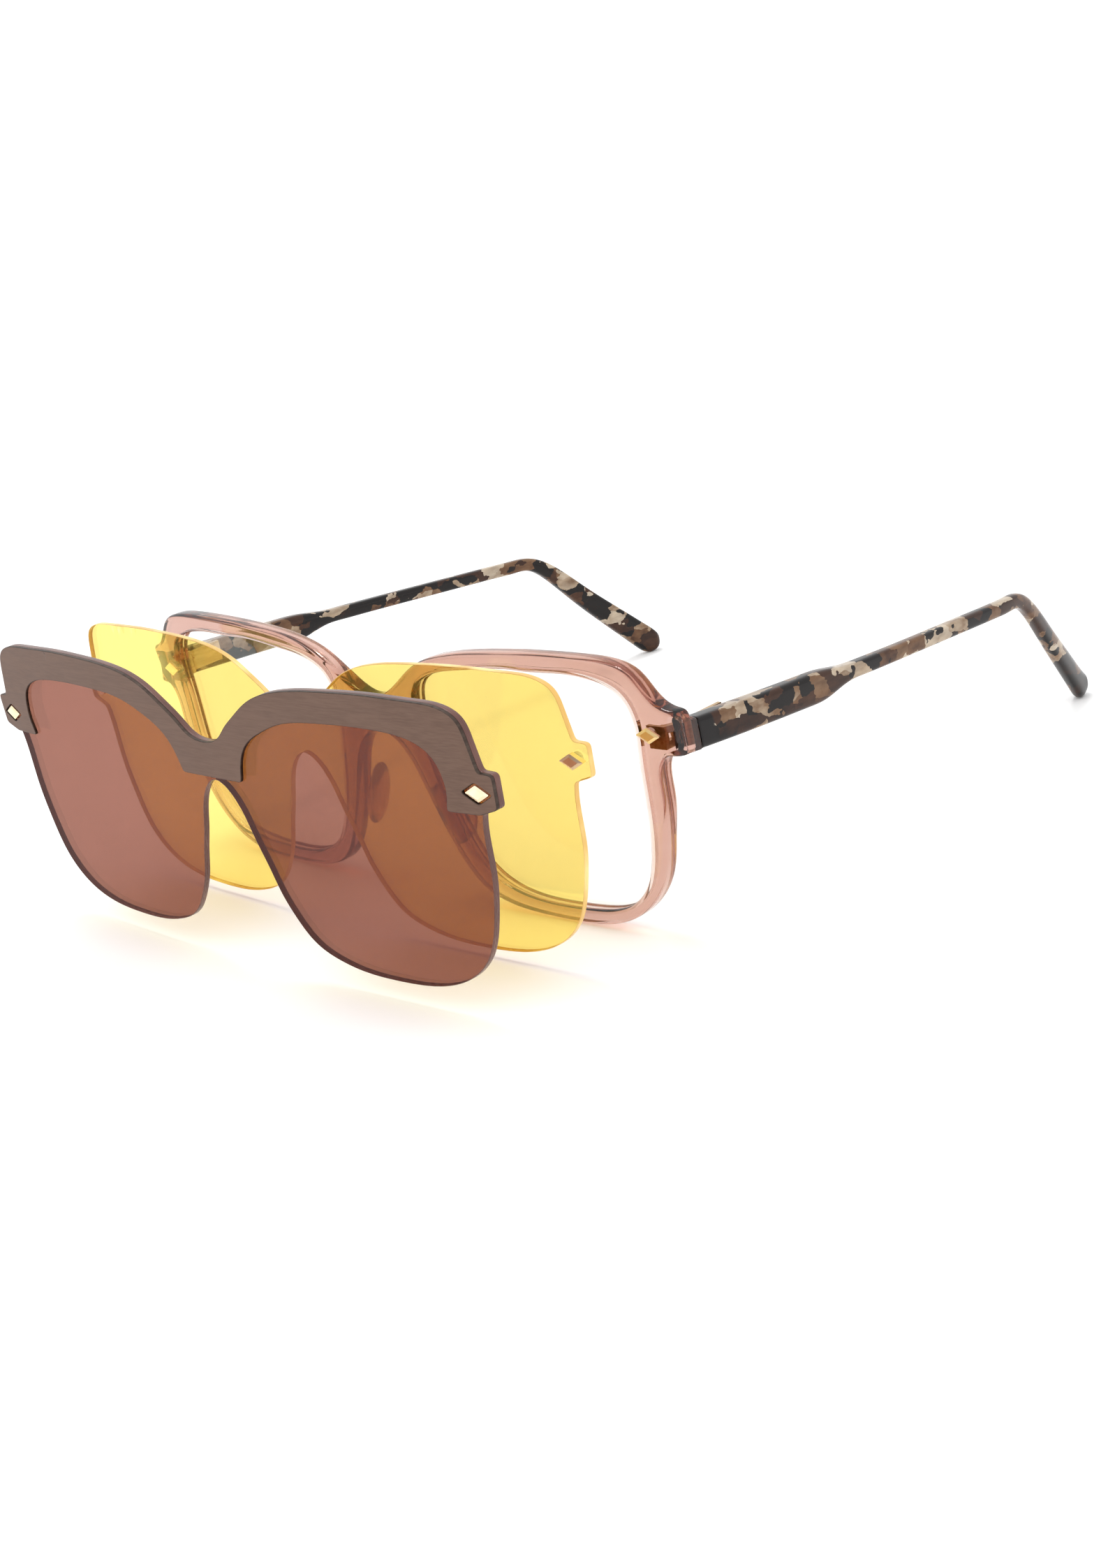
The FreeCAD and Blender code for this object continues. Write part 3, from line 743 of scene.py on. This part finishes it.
@dataclass
class Plate:
    """A curved plate with rounded edges, cut to closed lines in the XZ plane.

    Its front and back are functions of x. Every edge is a section carried along its line:
    a quarter circle from the front, an upright wall, and a quarter circle to the back.
    """

    loops: list[Array]
    front: DepthOfFace
    back: DepthOfFace
    rounding: float
    grid: float
    arc_steps: int = 5
    groove: Optional[tuple[float, float, float]] = None

    def section(self, loop: Array, across: Array, grooved: bool) -> Array:
        """The rows of points round one edge, from front to back.

        Args:
            loop: the edge's line.
            across: vectors to the plate's inside.
            grooved: whether the upright wall has a groove.

        Returns:
            A (rows, points, 3) array.
        """
        front, back = self.front(loop[:, 0]), self.back(loop[:, 0])
        radius = np.minimum(self.rounding, 0.45 * (back - front))
        angle = np.linspace(0.0, math.pi / 2, self.arc_steps)
        inset = [1.12 * radius] + [radius * (1 - math.sin(a)) for a in angle]
        depth = [0 * radius] + [radius * (1 - math.cos(a)) for a in angle]
        if grooved and self.groove is not None:
            start, width, deep = self.groove
            inset += [0 * radius, 0 * radius + deep, 0 * radius + deep, 0 * radius]
            depth += [0 * radius + start, 0 * radius + start, 0 * radius + start + width,
                      0 * radius + start + width]
        rows = [np.stack([loop[:, 0] + across[:, 0] * i, self.front(loop[:, 0] + across[:, 0] * i) + d,
                          loop[:, 1] + across[:, 1] * i], axis=1) for i, d in zip(inset, depth)]
        rest = [(radius * (1 - math.cos(a)), radius * (1 - math.sin(a))) for a in angle]
        rest.append((1.12 * radius, 0 * radius))
        rows += [np.stack([loop[:, 0] + across[:, 0] * i, self.back(loop[:, 0] + across[:, 0] * i) - d,
                           loop[:, 1] + across[:, 1] * i], axis=1) for i, d in rest]
        return np.stack(rows)

    def surface(self, face_slot: int = 0, edge_slot: int = 0) -> Surface:
        """Builds the plate: an edge strip to each line, and a front and a back that share its rows.

        Args:
            face_slot: material slot of the front and back.
            edge_slot: material slot of the edges.

        Returns:
            The closed surface.
        """
        made = Surface()
        fronts, backs, flats = [], [], []
        for number, loop in enumerate(self.loops):
            rows = self.section(loop, inward(loop), grooved=number > 0)
            depth, columns = rows.shape[:2]
            start = made.add(rows.reshape(-1, 3), [grid_faces(depth, columns)], edge_slot)
            fronts.append(start + np.arange(columns))
            backs.append(start + (depth - 1) * columns + np.arange(columns))
            flats.append(rows[0][:, [0, 2]])
        places, triangles = filled(flats, self.grid)
        border = sum(len(flat) for flat in flats)
        inside = places[border:]
        for ends, depth, flipped in ((fronts, self.front, False), (backs, self.back, True)):
            strewn = np.stack([inside[:, 0], depth(inside[:, 0]), inside[:, 1]], axis=1)
            start = made.add(strewn, [])
            number = np.concatenate(ends + [start + np.arange(len(inside))])
            group = number[triangles]
            made.join(group[:, ::-1] if flipped else group, face_slot)
        return made


def loft(rings: Array, caps: tuple[bool, bool] = (True, True)) -> Surface:
    """A skin over closed rings, with a fan over each end.

    Args:
        rings: a (rings, points, 3) array.
        caps: whether the first and the last ring get a fan.

    Returns:
        The surface, its faces outwards.
    """
    count, columns = rings.shape[:2]
    made = Surface()
    faces = grid_faces(count, columns)
    first = rings[0].mean(axis=0)
    along = rings[-1].mean(axis=0) - first
    spoke = rings[0][0] - first
    onward = rings[0][1] - rings[0][0]
    outward = float(np.dot(np.cross(along, onward), spoke)) > 0
    made.add(rings.reshape(-1, 3), [faces if outward else faces[:, ::-1]])
    for ring, flipped, wanted in ((0, not outward, caps[0]), (count - 1, outward, caps[1])):
        if wanted:
            number = ring * columns + np.arange(columns)
            centre = made.add(rings[ring].mean(axis=0)[None], [])
            fan = np.stack([np.full(columns, centre), np.roll(number, -1), number], axis=1)
            made.join(fan[:, ::-1] if flipped else fan)
    return made


def oval(centres: Array, halves: Array, power: Array, columns: int) -> Array:
    """Rings in upright XZ planes: x and z follow a cosine and a sine raised to 2 / power.

    Args:
        centres: (n, 3) middles of the rings.
        halves: (n, 2) half widths along X and Z.
        power: (n,) 2 gives an ellipse, and more squares it off.
        columns: points round a ring.

    Returns:
        An (n, columns, 3) array.
    """
    turn = np.linspace(0.0, 2 * math.pi, columns, endpoint=False) + math.pi / columns
    cosine, sine = np.cos(turn)[None], np.sin(turn)[None]
    share = (2.0 / power)[:, None]
    x = centres[:, :1] + halves[:, :1] * np.sign(cosine) * np.abs(cosine) ** share
    z = centres[:, 2:] + halves[:, 1:] * np.sign(sine) * np.abs(sine) ** share
    y = np.broadcast_to(centres[:, 1:2], x.shape)
    return np.stack([x, y, z], axis=2)


def joined_up(piece: bpy.types.Object, others: Sequence[bpy.types.Object]) -> None:
    """Makes one closed skin of a piece and others that run into it, and removes the others.

    Args:
        piece: the piece that stays.
        others: the pieces that are joined to it.
    """
    for other in others:
        union = piece.modifiers.new("union", "BOOLEAN")
        union.operation = "UNION"
        union.solver = "EXACT"
        union.object = other
    graph = bpy.context.evaluated_depsgraph_get()
    mesh = bpy.data.meshes.new_from_object(piece.evaluated_get(graph))
    piece.modifiers.clear()
    piece.data = mesh
    for other in others:
        bpy.data.objects.remove(other)
    mesh.set_sharp_from_angle(angle=math.radians(CREASE))


def put(piece: bpy.types.Object, body: str, nodes: Sequence[str]) -> None:
    """Says what a piece belongs to.

    Args:
        piece: the piece.
        body: the body that it rides.
        nodes: the CAD nodes that it stands for.
    """
    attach(piece, body)
    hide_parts(*nodes)


def dress(name: str, finish: bpy.types.Material) -> None:
    """Gives a CAD node a finish.

    Args:
        name: the CAD node.
        finish: its new material.
    """
    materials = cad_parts[name].data.materials
    if len(materials) == 0:
        materials.append(finish)
    for number in range(len(materials)):
        materials[number] = finish
    log.info("%s: finish %s", name, finish.name)


# ---- sub-assemblies -----------------------------------------------------------------------
@dataclass
class Face:
    """The curve shared by every front: part of an upright cylinder."""

    radius: float = 840.0 * MM

    def sag(self, x: Array) -> Array:
        """How far the face has curved back at x: the radius less the cylinder's chord height."""
        return self.radius - np.sqrt(self.radius ** 2 - x ** 2)

    def outlines(self, name: str, front: float, depth: float, spacing: float, softening: int,
                 shortest: float) -> list[Array]:
        """The closed lines of a front, cut at a depth behind its face.

        Args:
            name: the CAD node.
            front: y of its face at x = 0.
            depth: how far behind the face the cut is.
            spacing: distance between the lines' points.
            softening: how often the points are eased.
            shortest: lines shorter than this are left out.

        Returns:
            The outer line, anticlockwise, and the holes, clockwise.
        """
        points, triangles = node_mesh(name)
        level = points[:, 1] - front - self.sag(points[:, 0]) - depth
        cut = [loop[:, [0, 2]] for loop in cut_loops(points, triangles, level)]
        long = [loop for loop in cut
                if np.hypot(*(loop - np.roll(loop, 1, axis=0)).T).sum() > shortest]
        long.sort(key=lambda loop: -abs(area(loop)))
        turned = [loop if (area(loop) > 0) == (number == 0) else loop[::-1]
                  for number, loop in enumerate(long)]
        return [even(loop, spacing, softening) for loop in turned]


@dataclass
class Finishes:
    """Materials made once and shared."""

    made: dict[str, bpy.types.Material] = field(default_factory=dict)

    def of(self, finish: object) -> bpy.types.Material:
        """The material of a finish."""
        if finish.name not in self.made:
            self.made[finish.name] = finish.material()
        return self.made[finish.name]


FINISHES = Finishes()


@dataclass
class Stud:
    """A faceted lozenge stud: a skirt, a sloping crown and a small flat table."""

    node: str
    body: str
    face: Face
    width: float = 5.2 * MM
    height: float = 2.8 * MM
    table: float = 0.62
    corner: float = 0.05

    def build(self) -> bpy.types.Object:
        """Makes the stud inside its node's box, square to the face that it sits on."""
        low, high = (np.array(corner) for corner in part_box(self.node))
        x, z = (low[0] + high[0]) / 2, (low[2] + high[2]) / 2
        side = x / self.face.radius
        outward = np.array([side, -math.sqrt(1 - side ** 2), 0.0])
        across = np.array([-outward[1], outward[0], 0.0])
        deep = (high[1] - low[1]) - self.width * abs(side) - SEAT
        middle = np.array([x, (low[1] + high[1]) / 2, z]) + outward * deep / 2
        corners = np.array([[1, 0], [0, 1], [-1, 0], [0, -1]], dtype=float)
        cut = [corners + (np.roll(corners, step, axis=0) - corners) * self.corner for step in (1, -1)]
        ring = np.stack(cut, axis=1).reshape(-1, 2)
        crown = min(0.22 * MM, 0.8 * deep)
        rows = ((0.98, deep), (0.98, crown), (self.table, 0.0))
        rings = [middle + share * (ring[:, :1] * across * self.width / 2
                                   + ring[:, 1:] * np.array([0, 0, 1.0]) * self.height / 2)
                 - outward * depth for share, depth in rows]
        piece = loft(np.stack(rings)).piece(self.node + "_facets", [FINISHES.of(GOLD)], crease=10.0)
        put(piece, self.body, [self.node])
        return piece


@dataclass
class FrontFrame:
    """The rims, bridge and end pieces, with their studs, lenses, pads and hinge leaves."""

    face: Face
    depth: float = 3.2 * MM
    cut: float = 2.6 * MM
    corner: float = 2.4 * MM
    rounding: float = 0.75 * MM
    groove: tuple[float, float, float] = (0.9 * MM, 1.3 * MM, 0.7 * MM)
    wall: float = 3.6 * MM
    joint_gap: float = 0.1 * MM
    half: float = field(init=False, default=0.0)
    low_y: float = field(init=False, default=0.0)

    def front(self, x: Array) -> Array:
        """y of the front: the face's curve, then an arc of the corner radius to the side."""
        reach = np.clip(np.abs(x) - (self.half - self.corner), 0.0, self.corner)
        fall = self.corner - np.sqrt(np.clip(self.corner ** 2 - reach ** 2, 0.0, None))
        return self.low_y + self.face.sag(x) + fall

    def back(self, x: Array) -> Array:
        """y of the back: the face's curve, one depth further in."""
        return self.low_y + self.face.sag(x) + self.depth

    def end_block(self, side: Side, loop: Array) -> bpy.types.Object:
        """The block that turns back from the rim to the temple, as squared-off rings along Y.

        Args:
            side: which side of the wearer it is on.
            loop: the front's outer line.

        Returns:
            The block.
        """
        low, high = (np.array(corner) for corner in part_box(side.node("temple")))
        ends = loop[loop[:, 0] * side.value > self.half - 1.2 * MM]
        rear_y = low[1] - 2 * self.joint_gap
        start_y = float(self.front(np.array([self.half - 0.9 * MM]))[0]) + 0.9 * MM
        front_z = (ends[:, 1].min() + 0.15 * MM, ends[:, 1].max() - 0.15 * MM)
        rear_z = self.temple_end(side)
        y = np.array([start_y, start_y + 0.2 * MM, rear_y - 0.15 * MM, rear_y])
        share = ((y - y[0]) / (y[-1] - y[0]))[:, None]
        z = np.array(front_z)[None] * (1 - share) + np.array(rear_z)[None] * share
        shrink = np.array([0.15, 0.0, 0.0, 0.15]) * MM
        x = side.value * (self.half - self.wall / 2)
        centres = np.stack([np.full(4, x), y, z.mean(axis=1)], axis=1)
        halves = np.stack([np.full(4, self.wall / 2 - 0.02 * MM), (z[:, 1] - z[:, 0]) / 2], axis=1)
        rings = oval(centres, halves - shrink[:, None], np.full(4, 9.0), 64)
        return loft(rings).piece(side.node("end_block"), [FINISHES.of(ROSE)])

    def temple_end(self, side: Side) -> tuple[float, float]:
        """Lowest and highest z of the temple where it meets the end piece."""
        points, _ = node_mesh(side.node("temple"))
        ends = points[points[:, 1] < points[:, 1].min() + 0.3 * MM]
        return float(ends[:, 2].min()), float(ends[:, 2].max())

    def build(self) -> None:
        """Builds the front and dresses the small pieces on it."""
        low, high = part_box("front_frame")
        self.half, self.low_y = high[0], low[1]
        loops = self.face.outlines("front_frame", self.low_y, self.cut, 0.55 * MM, 3, 30 * MM)
        plate = Plate(loops, self.front, self.back, self.rounding, 2.2 * MM, groove=self.groove)
        front = plate.surface().piece("rose_front", [FINISHES.of(ROSE)])
        blocks = [self.end_block(side, loops[0]) for side in Side]
        joined_up(front, blocks)
        put(front, "frame", ["front_frame"])
        for side in Side:
            Stud(side.node("frame_stud"), "frame", self.face).build()
            dress(side.node("nose_pad"), FINISHES.of(ROSE))
            dress(side.node("demo_lens"), FINISHES.of(LENS))
            dress(side.node("frame_magnet"), FINISHES.of(MAGNET))
            dress(side.node("front_hinge_leaf"), FINISHES.of(HINGE_METAL))
            dress(side.node("hinge_screw"), FINISHES.of(HINGE_METAL))


@dataclass
class Temple:
    """One temple: a rounded bar that narrows, bends down and ends in a wider tip."""

    side: Side
    stations: int = 190
    columns: int = 56
    front_power: float = 5.0
    tip_power: float = 2.5
    bevel: float = 0.18 * MM

    def ranges(self, points: Array, triangles: Array, y: Array) -> Array:
        """Least and greatest x and z of the CAD temple at each y, as an (n, 4) array.

        An edge that crosses the plane at y meets it a share of its length along.

        Args:
            points: the temple's points.
            triangles: its triangles.
            y: where it is measured.

        Returns:
            Least x, greatest x, least z and greatest z at each y.
        """
        edges = np.unique(np.sort(np.concatenate([triangles[:, [0, 1]], triangles[:, [1, 2]],
                                                  triangles[:, [2, 0]]]), axis=1), axis=0)
        first, second = points[edges[:, 0]], points[edges[:, 1]]
        run = second[:, 1] - first[:, 1]
        safe = np.where(np.abs(run) < 1e-12, 1e-12, run)
        share = (y[:, None] - first[:, 1][None]) / safe[None]
        meets = (share >= 0) & (share <= 1)
        found = []
        for axis in (0, 2):
            at = first[:, axis][None] + share * (second[:, axis] - first[:, axis])[None]
            found += [np.where(meets, at, np.inf).min(axis=1), np.where(meets, at, -np.inf).max(axis=1)]
        return np.stack(found, axis=1)

    def build(self) -> None:
        """Builds the temple from its CAD node's ranges and dresses its leaf and core."""
        name = self.side.node("temple")
        points, triangles = node_mesh(name)
        start, end = points[:, 1].min() + 0.01 * MM, points[:, 1].max() - 0.004 * MM
        share = np.linspace(0.0, 1.0, self.stations)
        y = start + (end - start) * (1.0 - (1.0 - share) ** 1.8)
        spread = self.ranges(points, triangles, y)
        eased = spread.copy()
        for _ in range(4):
            eased[1:-1] = 0.5 * eased[1:-1] + 0.25 * (eased[2:] + eased[:-2])
        keep = np.clip((share - 0.86) / 0.06, 0.0, 1.0)[:, None]
        spread = eased * (1 - keep) + spread * keep
        centres = np.stack([spread[:, :2].mean(axis=1), y, spread[:, 2:].mean(axis=1)], axis=1)
        halves = np.stack([(spread[:, 1] - spread[:, 0]) / 2, (spread[:, 3] - spread[:, 2]) / 2], axis=1)
        halves[0] -= self.bevel
        y_second = centres[0] + np.array([0.0, self.bevel, 0.0])
        centres = np.insert(centres, 1, y_second, axis=0)
        halves = np.insert(halves, 1, halves[0] + self.bevel, axis=0)
        along = np.clip((centres[:, 1] - start) / (end - start), 0.0, 1.0)
        power = self.front_power + (self.tip_power - self.front_power) * along ** 0.6
        rings = oval(centres, halves, power, self.columns)
        piece = loft(rings).piece(name + "_bar", [FINISHES.of(TORTOISE)])
        put(piece, name, [name])
        dress(self.side.node("temple_hinge_leaf"), FINISHES.of(HINGE_METAL))
        dress(self.side.node("temple_core"), FINISHES.of(CORE_METAL))


@dataclass
class Clip:
    """A clip-on front: one tinted sheet from tab to tab, with a stud and a magnet at each end."""

    stem: str
    face: Face
    finish: TintedSheet
    edge: CutEdge
    rounding: float = 0.12 * MM

    @property
    def body(self) -> str:
        """The body that the clip rides."""
        return self.stem + "_clip"

    def build(self) -> None:
        """Builds the sheet and the studs, and dresses the magnets."""
        name = self.stem + "_lens"
        low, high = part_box(name)
        front = low[1]
        thick = (high[1] - low[1]) - float(self.face.sag(np.array([high[0]]))[0])
        thick = max(0.5 * MM, round(thick / (0.05 * MM)) * 0.05 * MM)
        loops = self.face.outlines(name, front, thick / 2, 0.32 * MM, 3, 10 * MM)
        plate = Plate(loops, lambda x: front + self.face.sag(x),
                      lambda x: front + self.face.sag(x) + thick, self.rounding, 2.2 * MM, 4)
        sheet = plate.surface(0, 1).piece(name + "_sheet",
                                          [FINISHES.of(self.finish), FINISHES.of(self.edge)])
        put(sheet, self.body, [name])
        for side in Side:
            Stud(side.node(self.stem + "_stud"), self.body, self.face).build()
            dress(side.node(self.stem + "_magnet"), FINISHES.of(MAGNET))


@dataclass
class BrowBar:
    """The brushed metal bar over the sun clip's upper edge."""

    face: Face
    thickness: float = 0.6 * MM
    rounding: float = 0.1 * MM

    def build(self) -> None:
        """Builds the bar with its lozenge windows."""
        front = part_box("sun_lens")[0][1] - self.thickness
        loops = self.face.outlines("brow_bar", front, self.thickness / 2, 0.3 * MM, 3, 8 * MM)
        plate = Plate(loops, lambda x: front + self.face.sag(x),
                      lambda x: front + self.face.sag(x) + self.thickness - SEAT,
                      self.rounding, 2.0 * MM, 4)
        bar = plate.surface(0, 1).piece("brow_bar_brushed",
                                        [FINISHES.of(BAR), FINISHES.of(BAR_EDGE)])
        put(bar, "sun_clip", ["brow_bar"])


@dataclass
class Studio:
    """The camera, the pale table and plain soft light."""

    azimuth: float = 51.42
    elevation: float = 18.40
    roll: float = -12.14
    distance: float = 432.94 * MM
    lens: float = 60.71
    aim_share: tuple[float, float] = (0.583, 0.5227)
    aim_back: float = 1.6 * MM
    table_half: float = 40.0

    def camera(self) -> None:
        """Puts the camera on a sphere round a point of the frame front, turned by its roll."""
        low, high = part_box("front_frame")
        aim = Vector((high[0] * self.aim_share[0], low[1] + self.aim_back, high[2] * self.aim_share[1]))
        turn, rise, roll = (math.radians(v) for v in (self.azimuth, self.elevation, self.roll))
        level = math.cos(rise)
        back = Vector((math.sin(turn) * level, -math.cos(turn) * level, math.sin(rise)))
        right = Vector((math.cos(turn), math.sin(turn), 0.0))
        up = back.cross(right)
        rolled = (math.cos(roll) * right + math.sin(roll) * up,
                  math.cos(roll) * up - math.sin(roll) * right)
        data = bpy.data.cameras.new("camera")
        data.sensor_width = 36.0
        data.lens = self.lens
        data.clip_start = 0.01
        data.clip_end = 200.0
        camera = bpy.data.objects.new("camera", data)
        bpy.context.scene.collection.objects.link(camera)
        axes = Matrix((rolled[0], rolled[1], back)).transposed().to_4x4()
        camera.matrix_world = Matrix.Translation(aim + back * self.distance) @ axes
        bpy.context.scene.camera = camera

    def lamp(self, name: str, kind: str, place: Colour, aim: Colour, power: float,
             size: float) -> None:
        """Adds a lamp that points at a place.

        Args:
            name: the lamp's name.
            kind: Blender's type of lamp.
            place: where it stands.
            aim: the place it points at.
            power: its strength.
            size: a disk's width in metres, or a sun's angle in radians.
        """
        data = bpy.data.lights.new(name, kind)
        data.energy = power
        if kind == "SUN":
            data.angle = size
        else:
            data.shape = "DISK"
            data.size = size
        lamp = bpy.data.objects.new(name, data)
        lamp.location = place
        lamp.rotation_euler = (Vector(aim) - Vector(place)).to_track_quat("-Z", "Y").to_euler()
        bpy.context.scene.collection.objects.link(lamp)

    def build(self) -> None:
        """Builds the table, the lamps, the sky and the camera."""
        scene = bpy.context.scene
        half = self.table_half
        corners = np.array([[-half, -half, 0], [half, -half, 0], [half, half, 0], [-half, half, 0]])
        table = Surface()
        table.add(corners + np.array([0, 0, CAD_BOX[0][2] - 0.00002]), [np.array([[0, 1, 2, 3]])])
        floor = table.piece("table", [FINISHES.of(Paper())])
        world = bpy.data.worlds.new("soft_sky")
        world.use_nodes = True
        sky = world.node_tree.nodes["Background"]
        sky.inputs["Color"].default_value = (1.0, 1.0, 1.0, 1.0)
        sky.inputs["Strength"].default_value = 1.16
        scene.world = world
        self.lamp("overhead", "SUN", (-0.22, 0.06, 1.0), (0.0, 0.0, 0.0), 0.70, math.radians(16))
        self.lamp("window", "AREA", (-0.55, -0.75, 0.75), (0.0, 0.0, 0.02), 0.5, 0.45)
        self.lamp("side", "AREA", (0.75, 0.05, 0.55), (0.05, 0.0, 0.02), 0.35, 0.35)
        scene.view_settings.view_transform = "Standard"
        scene.view_settings.look = "None"
        scene.cycles.transparent_max_bounces = 40
        scene.cycles.max_bounces = 16
        scene.cycles.transmission_bounces = 16
        self.camera()


def main() -> None:
    """Builds every sub-assembly and the studio."""
    logging.basicConfig(level=logging.INFO, format="%(name)s %(message)s")
    face = Face()
    FrontFrame(face).build()
    for side in Side:
        Temple(side).build()
    Clip("yellow", face, YELLOW, YELLOW_EDGE).build()
    Clip("sun", face, SUN, SUN_EDGE).build()
    BrowBar(face).build()
    Studio().build()


if __name__ == "__main__":
    main()
